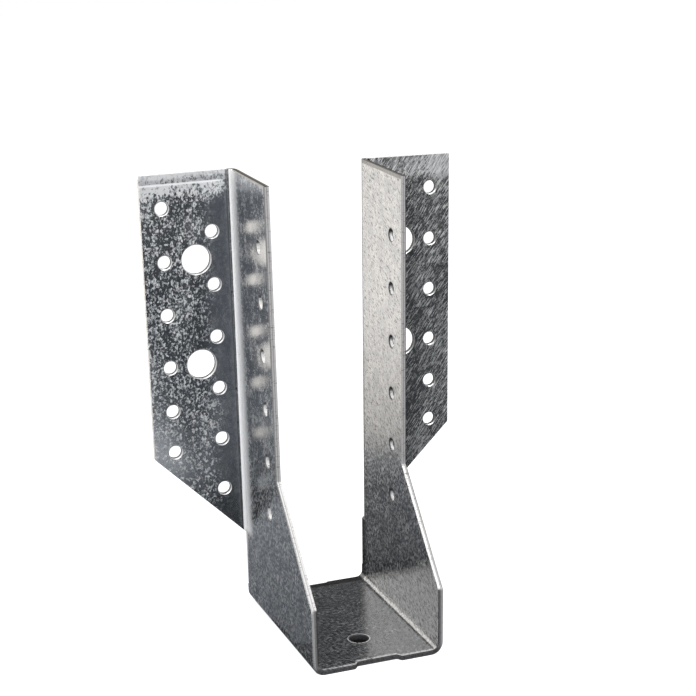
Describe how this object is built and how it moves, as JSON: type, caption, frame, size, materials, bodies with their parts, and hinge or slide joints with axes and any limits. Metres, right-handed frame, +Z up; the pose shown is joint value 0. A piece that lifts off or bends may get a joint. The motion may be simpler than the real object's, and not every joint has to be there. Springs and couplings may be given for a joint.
{
  "type": "joist hanger",
  "caption": "Face-fix joist hanger folded from one galvanised steel sheet: a stirrup with a flat seat, upright side walls and pierced flanges that turn outward",
  "frame": {"origin": "centre of the bounding box, at the underside of the seat", "axes": "+Z up along the walls, +Y towards the header that the flanges lie against, -Y towards the incoming joist, +X to the right as seen from the front"},
  "size_m": [0.1226, 0.075, 0.171],
  "materials": {
    "galvanised_steel": "pre-galvanised sheet with a fine zinc spangle and bare sheared edges"
  },
  "bodies": {
    "root": {"folded_hanger": "galvanised_steel"}
  },
  "joints": []
}
